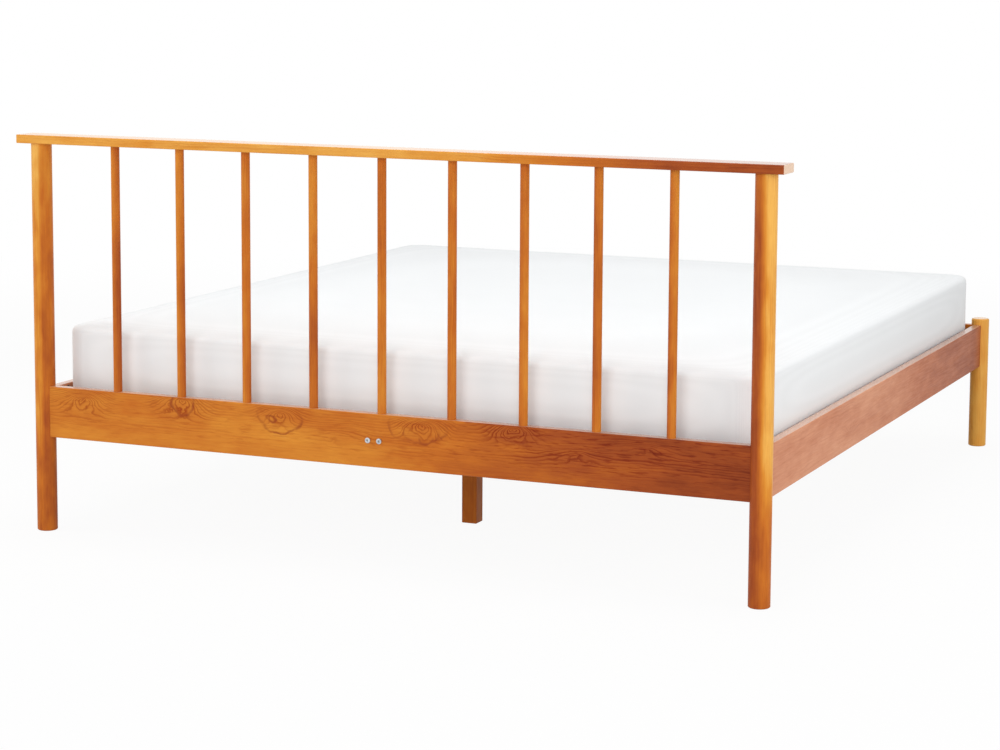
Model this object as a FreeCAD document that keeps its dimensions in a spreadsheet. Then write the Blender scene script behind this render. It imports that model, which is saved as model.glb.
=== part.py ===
import FreeCAD, Part
import Sketcher
import math
import os
import re

from FreeCAD import Placement, Rotation, Vector

# A wooden bed for one wide mattress. X runs across the bed, Y towards the head, Z up.
# The origin is on the floor, in the middle of the bed's outer box. Sizes in millimetres.
SIZES = {
    # mattress, and the room left around it
    "mattress_width": 1800,
    "mattress_length": 2000,
    "mattress_thick": 210,
    "mattress_corner": 62,
    "mattress_edge": 28,
    "mattress_crown": 6,
    "mattress_waist": 4,
    "side_play": 4,
    "head_play": 28,
    "foot_play": 12,
    # posts
    "post_dia": 50,
    "head_post_height": 958,
    "foot_post_height": 374,
    "post_top_round": 5,
    "post_foot_bevel": 2,
    # top rail and spindles
    "top_rail_depth": 70,
    "top_rail_thick": 21,
    "top_rail_overhang": 50,
    "top_rail_round": 2.5,
    "spindle_dia": 21,
    "spindle_first": 209,
    "tenon_dia": 14,
    "tenon_length": 12,
    # head board, side rails and foot rail
    "board_height": 126,
    "board_thick": 25,
    "board_proud": 14,
    "rail_bottom": 235,
    "rail_height": 121,
    "rail_thick": 24,
    "rail_proud": 7,
    "rail_round": 2.5,
    # slat base and what carries it
    "slat_top": 302,
    "slat_thick": 18,
    "slat_width": 70,
    "slat_round": 2,
    "slat_end_play": 4,
    "slat_margin": 10,
    "webbing_width": 25,
    "webbing_thick": 1.2,
    "webbing_place": 560,
    "ledger_thick": 24,
    "ledger_height": 38,
    "ledger_setback": 88,
    "ledger_round": 2,
    # centre beam, its brackets and its legs
    "beam_width": 44,
    "beam_height": 50,
    "beam_end_gap": 2,
    "leg_size": 40,
    "leg_spacing": 1036,
    "leg_round": 2,
    "bracket_thick": 2.5,
    "bracket_width": 72,
    "bracket_offset": 9,
    "bracket_reach": 55,
    "bracket_rise": 28,
    "bracket_screw_place": 33,
    # beam bolts through the head board and the foot rail
    "bolt_dia": 6,
    "bolt_spacing": 29,
    "bolt_offset": 15.5,
    "bolt_head_dia": 13,
    "bolt_head_thick": 3.2,
    "bolt_socket_width": 4.6,
    "bolt_socket_depth": 2,
    "bolt_tail": 2,
    "nut_width": 11.5,
    "nut_thick": 5,
    # cam fittings and dowels of the side rails
    "cam_dia": 15,
    "cam_setback": 50,
    "cam_rise": 48,
    "cam_floor": 4.5,
    "cam_slot_length": 9,
    "cam_slot_width": 1.6,
    "cam_slot_depth": 1.5,
    "cam_bolt_dia": 6,
    "cam_bolt_bite": 15,
    "cam_bolt_head_dia": 7,
    "cam_bolt_head_thick": 4,
    "dowel_dia": 10,
    "dowel_bite": 15,
    "dowel_reach": 20,
    "frame_dowel_rise": 16,
    "cap_dowel_dia": 12,
    "cap_dowel_bite": 14,
    "cap_dowel_reach": 26,
    # screws and studs
    "screw_dia": 4.2,
    "screw_head_dia": 8.4,
    "screw_head_thick": 3,
    "screw_bite": 16,
    "screw_setback": 60,
    "stud_dia": 8,
    "stud_bite": 25,
    "stud_reach": 35,
    # clearances
    "cope_gap": 0.2,
    "bore_gap": 0.1,
    "cheek_gap": 0.3,
}
SPINDLES = 9
SLATS = 14
LEDGER_SCREWS = 7
SIDES = (("left", 1), ("right", -1))

# How finely the mattress's shape is drawn: steps round each edge, up a side, and over the crown.
EDGE_STEPS = 4
WALL_STEPS = 4
CROWN_STEPS = 3
LEAST_CORNER = 0.25     # the smallest corner of an inner outline, as a share of the outer one

# Any start does for a sketch, because its points are then tied to formulas.
ROUGH_MIDDLE = 50
ROUGH_RADIUS = 40
TOUCH = 0.01            # closer than this is the same height

# Places that more than one piece shares, as formulas of the sizes.
RAIL_IN = "(mattress_width / 2 + side_play)"
RAIL_X = f"({RAIL_IN} + rail_thick / 2)"
POST_X = f"({RAIL_IN} + rail_thick - rail_proud)"
AXIS_SPAN = ("(mattress_length + head_play + foot_play"
             " + board_thick - board_proud + rail_thick - rail_proud)")
HEAD_Y = f"({AXIS_SPAN} / 2 + post_dia / 4 - top_rail_depth / 4)"
FOOT_Y = f"({HEAD_Y} - {AXIS_SPAN})"
MIDDLE_Y = f"({HEAD_Y} - {AXIS_SPAN} / 2)"
BOARD_Y = f"({HEAD_Y} + board_proud - board_thick / 2)"
HEAD_IN = f"({HEAD_Y} + board_proud - board_thick)"
FOOT_RAIL_Y = f"({FOOT_Y} - rail_proud + rail_thick / 2)"
FOOT_IN = f"({FOOT_Y} - rail_proud + rail_thick)"
BOARD_TOP = "(rail_bottom + board_height)"
BOARD_MID_Z = "(rail_bottom + board_height / 2)"
RAIL_MID_Z = "(rail_bottom + rail_height / 2)"
SLAT_FLOOR = "(slat_top - slat_thick)"
BEAM_FLOOR = f"({SLAT_FLOOR} - beam_height)"
MATTRESS_HEAD = f"({HEAD_IN} - head_play)"
CAM_PLACE = "(post_dia / 2 + cam_setback)"
CAM_DEPTH = "(rail_thick / 2 + cam_floor)"
BOLT_GRIP_HEAD = "(board_thick + bracket_thick + nut_thick + bolt_tail)"
BOLT_GRIP_FOOT = "(rail_thick + bracket_thick + nut_thick + bolt_tail)"

doc = FreeCAD.newDocument("spindle_bed")
sheet = doc.addObject("Spreadsheet::Sheet", "sizes")
for row, (alias, number) in enumerate(SIZES.items(), start=1):
    sheet.set(f"A{row}", alias)
    sheet.set(f"B{row}", str(number))
    sheet.setAlias(f"B{row}", alias)
doc.recompute()

nodes = []


def formula(text):
    """Point each size named in a formula at its cell."""
    def cell(word):
        return "sizes." + word.group() if word.group() in SIZES else word.group()
    return re.sub(r"[a-z][a-z_]*", cell, text)


def bind(thing, **formulas):
    """Tie properties of an object to formulas."""
    for name, text in formulas.items():
        thing.setExpression(name, formula(text))
    return thing


def place(thing, x, y, z, rotation=Rotation()):
    """Turn an object, and tie where it stands to three formulas."""
    thing.Placement = Placement(Vector(), rotation)
    for axis, text in zip("xyz", (x, y, z)):
        thing.setExpression("Placement.Base." + axis, formula(text))
    return thing


def low_corner(size, middle):
    """Where a block's lowest corner is, from its size and its middle."""
    return [f"({m}) - ({s}) / 2" for s, m in zip(size, middle)]


def node(name, thing):
    """Give a finished piece the name of its node."""
    thing.Label = name
    nodes.append(thing)
    return thing


def box(name, size, middle):
    """A plain block."""
    block = doc.addObject("Part::Box", name)
    bind(block, Length=size[0], Width=size[1], Height=size[2])
    return place(block, *low_corner(size, middle))


def rod(name, diameter, length, start, direction):
    """A round bar from its start along a direction."""
    bar = doc.addObject("Part::Cylinder", name)
    bind(bar, Radius=f"({diameter}) / 2", Height=length)
    return place(bar, *start, Rotation(Vector(0, 0, 1), direction))


def hexagon(name, width, length, start, direction):
    """A six-sided bar of the given width across its flats."""
    bar = doc.addObject("Part::Prism", name)
    bar.Polygon = 6
    bind(bar, Circumradius=f"({width}) / sqrt(3)", Height=length)
    return place(bar, *start, Rotation(Vector(0, 0, 1), direction))


def join(name, pieces):
    """One solid of several that meet."""
    whole = doc.addObject("Part::MultiFuse", name)
    whole.Shapes = pieces
    return whole


def gather(name, pieces):
    """Several solids kept apart in one object."""
    whole = doc.addObject("Part::Compound", name)
    whole.Links = pieces
    return whole


def cut(name, base, tools):
    """A piece with the tools' shapes taken out of it."""
    rest = doc.addObject("Part::Cut", name)
    rest.Base = base
    rest.Tool = tools[0] if len(tools) == 1 else gather(name + "_tools", tools)
    return rest


def origin_plane(body, role):
    """One of a body's own base planes."""
    return next(f for f in body.Origin.OriginFeatures if f.Role == role)


def outline_sketch(body, role, points):
    """A closed outline of straight lines, its points tied to pairs of formulas."""
    sketch = body.newObject("Sketcher::SketchObject", body.Name + "_sketch")
    sketch.AttachmentSupport = [(origin_plane(body, role), "")]
    sketch.MapMode = "FlatFace"
    count = len(points)
    turns = [k * 2 * math.pi / count for k in range(count)]
    rough = [Vector(ROUGH_MIDDLE + ROUGH_RADIUS * math.cos(t),
                    ROUGH_MIDDLE + ROUGH_RADIUS * math.sin(t), 0) for t in turns]
    for k in range(count):
        sketch.addGeometry(Part.LineSegment(rough[k], rough[(k + 1) % count]))
    for k in range(count):
        sketch.addConstraint(Sketcher.Constraint("Coincident", k, 2, (k + 1) % count, 1))
    for k, (across, up) in enumerate(points):
        for kind, text in (("DistanceX", across), ("DistanceY", up)):
            if text == "0":
                line = -2 if kind == "DistanceX" else -1
                sketch.addConstraint(Sketcher.Constraint("PointOnObject", k, 1, line))
                continue
            rule = Sketcher.Constraint(kind, -1, 1, k, 1, ROUGH_RADIUS)
            number = sketch.addConstraint(rule)
            sketch.setExpression(f"Constraints[{number}]", formula(text))
    return sketch


def plank(name, size, middle, edge_round):
    """A planed board with eased edges."""
    body = doc.addObject("PartDesign::Body", name)
    across, along, up = size
    outline = [("0", "0"), (across, "0"), (across, along), ("0", along)]
    pad = body.newObject("PartDesign::Pad", name + "_pad")
    pad.Profile = outline_sketch(body, "XY_Plane", outline)
    bind(pad, Length=up)
    doc.recompute()
    ease = body.newObject("PartDesign::Fillet", name + "_ease")
    ease.Base = (pad, ["Edge1"])
    ease.UseAllEdges = True
    bind(ease, Radius=edge_round)
    body.Tip = ease
    return place(body, *low_corner(size, middle))


def turned(name, profile, foot):
    """A round piece turned about its upright axis, from pairs of radius and height."""
    body = doc.addObject("PartDesign::Body", name)
    turn = body.newObject("PartDesign::Revolution", name + "_turn")
    turn.Profile = outline_sketch(body, "XZ_Plane", profile)
    turn.ReferenceAxis = (turn.Profile[0], ["V_Axis"])
    turn.Angle = 360
    doc.recompute()
    body.Tip = turn
    return place(body, *foot)


def top_rounded(body, radius):
    """Round over the top edge of a turned piece."""
    turn = body.Tip
    top = turn.Shape.BoundBox.ZMax
    edges = [f"Edge{k}" for k, edge in enumerate(turn.Shape.Edges, start=1)
             if edge.BoundBox.ZMin > top - TOUCH and edge.Curve.TypeId == "Part::GeomCircle"]
    crown = body.newObject("PartDesign::Fillet", body.Name + "_crown")
    crown.Base = (turn, edges)
    bind(crown, Radius=radius)
    body.Tip = crown
    return body


def corners():
    """The four posts: their end and side, the side's sign, their place in X and in Y, and
    the sign of the way along Y to the bed's middle."""
    for end, at_y, inward in (("head", HEAD_Y, -1), ("foot", FOOT_Y, 1)):
        for side, sign in SIDES:
            yield end, side, sign, f"{sign} * {POST_X}", at_y, inward


# ---------------------------------------------------------------- fittings and bores

def rail_joint(kind, grow, tail):
    """The bars that tie each side rail to its two posts: cam bolts, or dowels.

    grow is added to their diameters and tail to their ends, so that the same
    bars serve as the fittings themselves and as the bores they go in.
    """
    bars = []
    for end, side, sign, _, at_y, inward in corners():
        x = f"{sign} * {RAIL_X}"
        direction = Vector(0, inward, 0)
        stem = f"{kind}_{end}_{side}"
        if kind.startswith("cam"):
            start = f"(post_dia / 2 - cam_bolt_bite - {tail})"
            for level in (-1, 1):
                z = f"{RAIL_MID_Z} + {level} * cam_rise"
                y = f"{at_y} + {inward} * {start}"
                length = f"({CAM_PLACE} - {start})"
                shank = rod(f"{stem}_shank", f"cam_bolt_dia + 2 * {grow}", length,
                            (x, y, z), direction)
                neck = f"({CAM_PLACE} - cam_bolt_head_thick)"
                head = rod(f"{stem}_head", f"cam_bolt_head_dia + 2 * {grow}",
                           "cam_bolt_head_thick",
                           (x, f"{at_y} + {inward} * {neck}", z), direction)
                bars.append(join(stem, [shank, head]))
        else:
            start = f"(post_dia / 2 - dowel_bite - {tail})"
            length = f"(dowel_bite + dowel_reach + 2 * {tail})"
            bars.append(rod(stem, f"dowel_dia + 2 * {grow}", length,
                            (x, f"{at_y} + {inward} * {start}", RAIL_MID_Z), direction))
    return bars


def head_passage():
    """The bores along each side rail that let the cam bolts' heads in."""
    bores = []
    for _, side, sign, _, at_y, inward in corners():
        for level in (-1, 1):
            z = f"{RAIL_MID_Z} + {level} * cam_rise"
            bores.append(rod(f"head_passage_{side}", "cam_bolt_head_dia + 2 * bore_gap",
                             CAM_PLACE, (f"{sign} * {RAIL_X}", at_y, z),
                             Vector(0, inward, 0)))
    return bores


def cam_barrels(grow):
    """The round cam locks, or their pockets, in from the rails' inner faces."""
    barrels = []
    for end, side, sign, _, at_y, inward in corners():
        for level in (-1, 1):
            start = (f"{sign} * {RAIL_IN}", f"{at_y} + {inward} * {CAM_PLACE}",
                     f"{RAIL_MID_Z} + {level} * cam_rise")
            barrels.append(rod(f"cam_barrel_{end}_{side}", f"cam_dia + 2 * {grow}",
                               f"{CAM_DEPTH} + {grow}", start, Vector(sign, 0, 0)))
    return barrels


def cam_locks():
    """Cam locks: a way in for the bolt's head, and a cross slot in the face."""
    locks = []
    places = [(c, level) for c in corners() for level in (-1, 1)]
    for barrel, (corner, level) in zip(cam_barrels("0"), places):
        _, _, sign, _, at_y, inward = corner
        z = f"{RAIL_MID_Z} + {level} * cam_rise"
        y = f"{at_y} + {inward} * {CAM_PLACE}"
        way_in = rod("cam_way", "cam_bolt_head_dia + 2 * bore_gap", "cam_dia / 2 + bore_gap",
                     (f"{sign} * {RAIL_X}", f"{at_y} + {inward} * ({CAM_PLACE} - cam_dia / 2)", z),
                     Vector(0, inward, 0))
        face = f"{sign} * ({RAIL_IN} + cam_slot_depth / 2)"
        slot_y = box("cam_slot", ("cam_slot_depth", "cam_slot_length", "cam_slot_width"),
                     (face, y, z))
        slot_z = box("cam_slot", ("cam_slot_depth", "cam_slot_width", "cam_slot_length"),
                     (face, y, z))
        locks.append(cut("cam_lock", barrel, [way_in, slot_y, slot_z]))
    return locks


def frame_dowels(grow, tail):
    """Dowels that hold the head board and the foot rail in the posts, or their bores."""
    bars = []
    for end, side, sign, x, _, _ in corners():
        y = BOARD_Y if end == "head" else FOOT_RAIL_Y
        for level in (-1, 1):
            start = f"{x} - {sign} * (post_dia / 2 - dowel_bite - {tail})"
            z = f"{RAIL_MID_Z} + {level} * frame_dowel_rise"
            bars.append(rod(f"frame_dowel_{end}_{side}", f"dowel_dia + 2 * {grow}",
                            f"(dowel_bite + dowel_reach + 2 * {tail})",
                            (start, y, z), Vector(-sign, 0, 0)))
    return bars


def cap_dowels(grow, tail):
    """Upright dowels between the head posts and the top rail, or their bores."""
    length = f"(cap_dowel_reach + cap_dowel_bite + 2 * {tail})"
    floor = f"head_post_height - cap_dowel_reach - {tail}"
    return [rod(f"cap_dowel_{side}", f"cap_dowel_dia + 2 * {grow}", length,
                (f"{sign} * {POST_X}", HEAD_Y, floor), Vector(0, 0, 1))
            for side, sign in SIDES]


def spindle_places():
    """Where the spindles stand across the bed."""
    step = f"(({POST_X} - spindle_first) * 2 / {SPINDLES - 1})"
    return [f"(-1 * {POST_X} + spindle_first + {k} * {step})" for k in range(SPINDLES)]


def tenon_bores(floor):
    """The holes for one end of every spindle."""
    return [rod("tenon_bore", "tenon_dia + 2 * bore_gap", "tenon_length + bore_gap",
                (x, BOARD_Y, floor), Vector(0, 0, 1)) for x in spindle_places()]


def bolt_places(inward):
    """Where the two beam bolts of one end are across the bed.

    Both ends have the same bracket, so the foot end's bolts are off to the other side.
    """
    return [f"{-inward} * (bolt_offset + {step} * bolt_spacing / 2)" for step in (-1, 1)]


def beam_bolt_bores(inward):
    """Clearance holes for one end's beam bolts, through its board and bracket."""
    y, thick = (BOARD_Y, "board_thick") if inward < 0 else (FOOT_RAIL_Y, "rail_thick")
    length = f"({thick} + 2 * bracket_thick)"
    return [rod("bolt_bore", "bolt_dia + 2 * bore_gap", length,
                (x, f"{y} - {length} / 2", BOARD_MID_Z), Vector(0, 1, 0))
            for x in bolt_places(inward)]


def screw(name, head, direction, length, grow):
    """A countersunk screw with its head's face at a point, or the hole it needs."""
    turn = Rotation(Vector(0, 0, 1), direction)
    cone = doc.addObject("Part::Cone", name + "_head")
    bind(cone, Radius1=f"screw_head_dia / 2 + {grow}", Radius2=f"screw_dia / 2 + {grow}",
         Height="screw_head_thick")
    place(cone, *head, turn)
    shank = rod(name + "_shank", f"screw_dia + 2 * {grow}", f"{length} + {grow}",
                head, direction)
    return join(name, [cone, shank])


def ledger_screws(sign, grow):
    """The row of screws through one ledger into its side rail, or their holes."""
    run = f"({AXIS_SPAN} - 2 * ledger_setback - 2 * screw_setback)"
    screws = []
    for k in range(LEDGER_SCREWS):
        y = f"{MIDDLE_Y} + {run} * ({k} / {LEDGER_SCREWS - 1} - 0.5)"
        head = (f"{sign} * ({RAIL_IN} - ledger_thick)", y,
                f"{SLAT_FLOOR} - ledger_height / 2")
        screws.append(screw("ledger_screw", head, Vector(sign, 0, 0),
                            "(ledger_thick + screw_bite)", grow))
    return screws


def bracket_screws(end_y, inward, grow):
    """One screw through each cheek of a bracket into the beam, or their holes."""
    screws = []
    for sign in (-1, 1):
        x = f"{sign} * (beam_width / 2 + cheek_gap + bracket_thick)"
        y = f"{end_y} + {inward} * bracket_screw_place"
        z = f"{SLAT_FLOOR} - beam_height / 2"
        screws.append(screw("bracket_screw", (x, y, z), Vector(-sign, 0, 0),
                            "screw_bite", grow))
    return screws


def leg_places():
    """Where the two centre legs stand along the bed."""
    return (("head", f"({MIDDLE_Y} + leg_spacing / 2)"),
            ("foot", f"({MIDDLE_Y} - leg_spacing / 2)"))


def leg_studs(grow, tail):
    """Hanger studs between the centre legs and the beam, or their bores."""
    length = f"(stud_bite + stud_reach + 2 * {tail})"
    return [rod("leg_stud", f"stud_dia + 2 * {grow}", length,
                ("0", y, f"{BEAM_FLOOR} - stud_reach - {tail}"), Vector(0, 0, 1))
            for _, y in leg_places()]


# ---------------------------------------------------------------- pieces

def posts():
    """Four round posts, bored for the rails' fittings."""
    for end, side, sign, x, at_y, _ in corners():
        name = f"{end}_post_{side}"
        height = f"{end}_post_height"
        profile = [("0", "0"), ("post_dia / 2 - post_foot_bevel", "0"),
                   ("post_dia / 2", "post_foot_bevel"), ("post_dia / 2", height),
                   ("0", height)]
        shaft = turned(name + "_shaft", profile, (x, at_y, "0"))
        if end == "foot":
            top_rounded(shaft, "post_top_round")
        bores = [b for b in rail_joint("cam_bore", "bore_gap", "bore_gap")
                 + rail_joint("dowel_bore", "bore_gap", "bore_gap")
                 + frame_dowels("bore_gap", "bore_gap")
                 if f"_{end}_{side}" in b.Name]
        if end == "head":
            bores += [b for b in cap_dowels("bore_gap", "bore_gap") if side in b.Name]
        node(name, cut(name, shaft, bores))


def post_room():
    """The space the posts take, with the cope's gap, up to the head posts' height."""
    return [rod("post_room", "post_dia + 2 * cope_gap", "head_post_height",
                (x, at_y, "0"), Vector(0, 0, 1)) for _, _, _, x, at_y, _ in corners()]


def rail_room():
    """The space between the post axes that belongs to the side rails."""
    return [box("rail_room", ("rail_thick + 2 * cope_gap", AXIS_SPAN, "head_post_height"),
                (f"{sign} * {RAIL_X}", MIDDLE_Y, "head_post_height / 2"))
            for _, sign in SIDES]


def end_boards():
    """The head board and the foot rail, their ends coped to the posts."""
    board = plank("head_board_blank", (f"2 * {POST_X}", "board_thick", "board_height"),
                  ("0", BOARD_Y, BOARD_MID_Z), "rail_round")
    bores = tenon_bores(f"{BOARD_TOP} - tenon_length - bore_gap")
    node("head_board", cut("head_board", board, post_room() + rail_room() + bores
                           + frame_dowels("bore_gap", "bore_gap") + beam_bolt_bores(-1)))
    rail = plank("foot_rail_blank", (f"2 * {POST_X}", "rail_thick", "rail_height"),
                 ("0", FOOT_RAIL_Y, RAIL_MID_Z), "rail_round")
    node("foot_rail", cut("foot_rail", rail, post_room() + rail_room()
                          + frame_dowels("bore_gap", "bore_gap") + beam_bolt_bores(1)))


def side_rails():
    """The side rails, with their ledgers."""
    for side, sign in SIDES:
        name = f"side_rail_{side}"
        blank = plank(name + "_blank", ("rail_thick", AXIS_SPAN, "rail_height"),
                      (f"{sign} * {RAIL_X}", MIDDLE_Y, RAIL_MID_Z), "rail_round")
        bores = [b for b in head_passage() + cam_barrels("bore_gap")
                 + rail_joint("dowel_bore", "bore_gap", "bore_gap")
                 if f"_{side}" in b.Name]
        node(name, cut(name, blank, post_room() + bores + ledger_screws(sign, "bore_gap")))
        name = f"ledger_{side}"
        strip = plank(name + "_blank",
                      ("ledger_thick", f"{AXIS_SPAN} - 2 * ledger_setback", "ledger_height"),
                      (f"{sign} * ({RAIL_IN} - ledger_thick / 2)", MIDDLE_Y,
                       f"{SLAT_FLOOR} - ledger_height / 2"), "ledger_round")
        node(name, cut(name, strip, ledger_screws(sign, "bore_gap")))


def top_rail():
    """The flat rail on the head posts."""
    size = (f"2 * {POST_X} + 2 * top_rail_overhang", "top_rail_depth", "top_rail_thick")
    blank = plank("top_rail_blank", size,
                  ("0", HEAD_Y, "head_post_height + top_rail_thick / 2"), "top_rail_round")
    node("top_rail", cut("top_rail", blank, tenon_bores("head_post_height")
                         + cap_dowels("bore_gap", "bore_gap")))


def spindles():
    """Plain round spindles with a tenon at each end."""
    shoulder = f"(tenon_length + head_post_height - {BOARD_TOP})"
    profile = [("0", "0"), ("tenon_dia / 2", "0"), ("tenon_dia / 2", "tenon_length"),
               ("spindle_dia / 2", "tenon_length"), ("spindle_dia / 2", shoulder),
               ("tenon_dia / 2", shoulder), ("tenon_dia / 2", f"{shoulder} + tenon_length"),
               ("0", f"{shoulder} + tenon_length")]
    for k, x in enumerate(spindle_places(), start=1):
        name = f"spindle_{k}"
        node(name, turned(name, profile, (x, BOARD_Y, f"{BOARD_TOP} - tenon_length")))


def centre_support():
    """The beam under the slats, its two brackets and its two legs."""
    length = f"({HEAD_IN} - {FOOT_IN} - 2 * bracket_thick - 2 * beam_end_gap)"
    middle_y = f"({HEAD_IN} + {FOOT_IN}) / 2"
    blank = plank("centre_beam_blank", ("beam_width", length, "beam_height"),
                  ("0", middle_y, f"{SLAT_FLOOR} - beam_height / 2"), "ledger_round")
    ends = (("head", HEAD_IN, -1), ("foot", FOOT_IN, 1))
    holes = [s for _, y, inward in ends for s in bracket_screws(y, inward, "bore_gap")]
    node("centre_beam", cut("centre_beam", blank, holes + leg_studs("bore_gap", "bore_gap")))
    for name, y, inward in ends:
        bracket(f"beam_bracket_{name}", y, inward)
    for name, y in leg_places():
        leg = plank(f"centre_leg_{name}_blank", ("leg_size", "leg_size", BEAM_FLOOR),
                    ("0", y, f"{BEAM_FLOOR} / 2"), "leg_round")
        leg_name = f"centre_leg_{name}"
        node(leg_name, cut(leg_name, leg, leg_studs("bore_gap", "bore_gap")))


def bracket(name, wall_y, inward):
    """A steel shoe for one end of the beam: a back plate, wider on the bolts' side, a floor
    and two cheeks."""
    floor_z = f"({BEAM_FLOOR} - bracket_thick)"
    top_z = f"({SLAT_FLOOR} + bracket_rise)"
    back = box(name + "_back", ("bracket_width", "bracket_thick", f"({top_z} - {floor_z})"),
               (f"{-inward} * bracket_offset", f"{wall_y} + {inward} * bracket_thick / 2",
                f"({top_z} + {floor_z}) / 2"))
    width = "(beam_width + 2 * cheek_gap + 2 * bracket_thick)"
    middle_y = f"{wall_y} + {inward} * bracket_reach / 2"
    sole = box(name + "_sole", (width, "bracket_reach", "bracket_thick"),
               ("0", middle_y, f"{BEAM_FLOOR} - bracket_thick / 2"))
    cheeks = [box(name + "_cheek", ("bracket_thick", "bracket_reach", "beam_height"),
                  (f"{sign} * ({width} - bracket_thick) / 2", middle_y,
                   f"{SLAT_FLOOR} - beam_height / 2")) for sign in (-1, 1)]
    shoe = join(name + "_shoe", [back, sole] + cheeks)
    node(name, cut(name, shoe, beam_bolt_bores(inward)
                   + bracket_screws(wall_y, inward, "bore_gap")))


def slat_base():
    """Slats joined by two strips of webbing under them."""
    first = f"({MATTRESS_HEAD} - slat_margin - slat_width / 2)"
    run = "(mattress_length - 2 * slat_margin - slat_width)"
    for k in range(SLATS):
        name = f"slat_{k + 1:02d}"
        y = f"{first} - {run} * {k} / {SLATS - 1}"
        node(name, plank(name, (f"2 * ({RAIL_IN} - slat_end_play)", "slat_width", "slat_thick"),
                         ("0", y, f"{SLAT_FLOOR} + slat_thick / 2"), "slat_round"))
    for side, sign in SIDES:
        name = f"webbing_{side}"
        node(name, box(name, ("webbing_width", f"{run} + slat_width", "webbing_thick"),
                       (f"{sign} * webbing_place", f"{first} - {run} / 2",
                        f"{SLAT_FLOOR} - webbing_thick / 2")))


def fittings():
    """Screws, bolts, dowels and cams, each kind in one node."""
    node("cam_bolts", gather("cam_bolts", rail_joint("cam_bolt", "0", "0")))
    node("cam_locks", gather("cam_locks", cam_locks()))
    node("rail_dowels", gather("rail_dowels", rail_joint("rail_dowel", "0", "0")))
    node("frame_dowels", gather("frame_dowels", frame_dowels("0", "0")))
    node("top_rail_dowels", gather("top_rail_dowels", cap_dowels("0", "0")))
    node("leg_studs", gather("leg_studs", leg_studs("0", "0")))
    node("ledger_screws", gather("ledger_screws",
                                 ledger_screws(1, "0") + ledger_screws(-1, "0")))
    node("bracket_screws", gather("bracket_screws", bracket_screws(HEAD_IN, -1, "0")
                                  + bracket_screws(FOOT_IN, 1, "0")))
    bolts, nuts = [], []
    for inward, face, grip, wall in (
            (-1, f"{HEAD_Y} + board_proud", BOLT_GRIP_HEAD, HEAD_IN),
            (1, f"{FOOT_Y} - rail_proud", BOLT_GRIP_FOOT, FOOT_IN)):
        for x in bolt_places(inward):
            bolts.append(beam_bolt((x, face, BOARD_MID_Z), inward, grip))
            seat = f"{wall} + {inward} * bracket_thick"
            nuts.append(beam_nut((x, seat, BOARD_MID_Z), inward))
    node("beam_bolts", gather("beam_bolts", bolts))
    node("beam_nuts", gather("beam_nuts", nuts))


def beam_bolt(seat, inward, grip):
    """A bolt with a low round head and a hexagon socket."""
    x, y, z = seat
    outward = Vector(0, -inward, 0)
    head = rod("beam_bolt_head", "bolt_head_dia", "bolt_head_thick", seat, outward)
    shank = rod("beam_bolt_shank", "bolt_dia", grip, seat, Vector(0, inward, 0))
    socket = hexagon("beam_bolt_socket", "bolt_socket_width", "bolt_socket_depth",
                     (x, f"{y} - {inward} * (bolt_head_thick - bolt_socket_depth)", z), outward)
    return cut("beam_bolt", join("beam_bolt_blank", [head, shank]), [socket])


def beam_nut(seat, inward):
    """A hexagon nut on a beam bolt, tight against the bracket."""
    direction = Vector(0, inward, 0)
    block = hexagon("beam_nut_block", "nut_width", "nut_thick", seat, direction)
    bore = rod("beam_nut_bore", "bolt_dia + 2 * bore_gap", "nut_thick", seat, direction)
    return cut("beam_nut", block, [bore])


def size(name):
    """The number in a cell of the sheet."""
    return float(sheet.get(name))


def rounded_outline(width, length, radius, z):
    """A level outline of four sides and four quarter rounds."""
    runs = []
    ends = []
    for k, (sx, sy) in enumerate(((1, 1), (-1, 1), (-1, -1), (1, -1))):
        middle = Vector(sx * (width / 2 - radius), sy * (length / 2 - radius), z)
        a, b, c = (middle + radius * Vector(math.cos(t), math.sin(t), 0)
                   for t in (math.pi / 4 * (2 * k + step) for step in range(3)))
        ends.append((a, c))
        runs.append(Part.Arc(a, b, c).toShape())
    lines = [Part.LineSegment(ends[k][1], ends[(k + 1) % 4][0]).toShape() for k in range(4)]
    return Part.Wire([piece for pair in zip(runs, lines) for piece in pair])


def mattress():
    """A sprung mattress: rounded edges, sides a little drawn in, and a low crown."""
    width, length, thick = (size("mattress_" + word) for word in ("width", "length", "thick"))
    corner, edge = size("mattress_corner"), size("mattress_edge")
    crown, waist = size("mattress_crown"), size("mattress_waist")
    turns = [math.radians(90 * k / EDGE_STEPS) for k in range(EDGE_STEPS + 1)]
    shoulder = thick - crown
    levels = [(edge * (1 - math.sin(t)), edge * (1 - math.cos(t))) for t in turns]
    for share in (k / WALL_STEPS for k in range(1, WALL_STEPS)):
        levels.append((waist * math.sin(math.pi * share), edge + (shoulder - 2 * edge) * share))
    levels += [(edge * (1 - math.cos(t)), shoulder - edge * (1 - math.sin(t))) for t in turns]
    reach = width / 2 - corner
    for share in (k / CROWN_STEPS for k in range(1, CROWN_STEPS + 1)):
        levels.append((edge + (reach - edge) * share,
                       shoulder + crown * math.sin(math.pi / 2 * share)))
    outlines = []
    for inset, z in levels:
        radius = max(corner - inset, corner * LEAST_CORNER)
        outlines.append(rounded_outline(width - 2 * inset, length - 2 * inset, radius, z))
    block = doc.addObject("Part::Feature", "mattress")
    block.Shape = Part.makeLoft(outlines, True, True)
    place(block, "0", f"{MATTRESS_HEAD} - mattress_length / 2", "slat_top")
    node("mattress", block)


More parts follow.
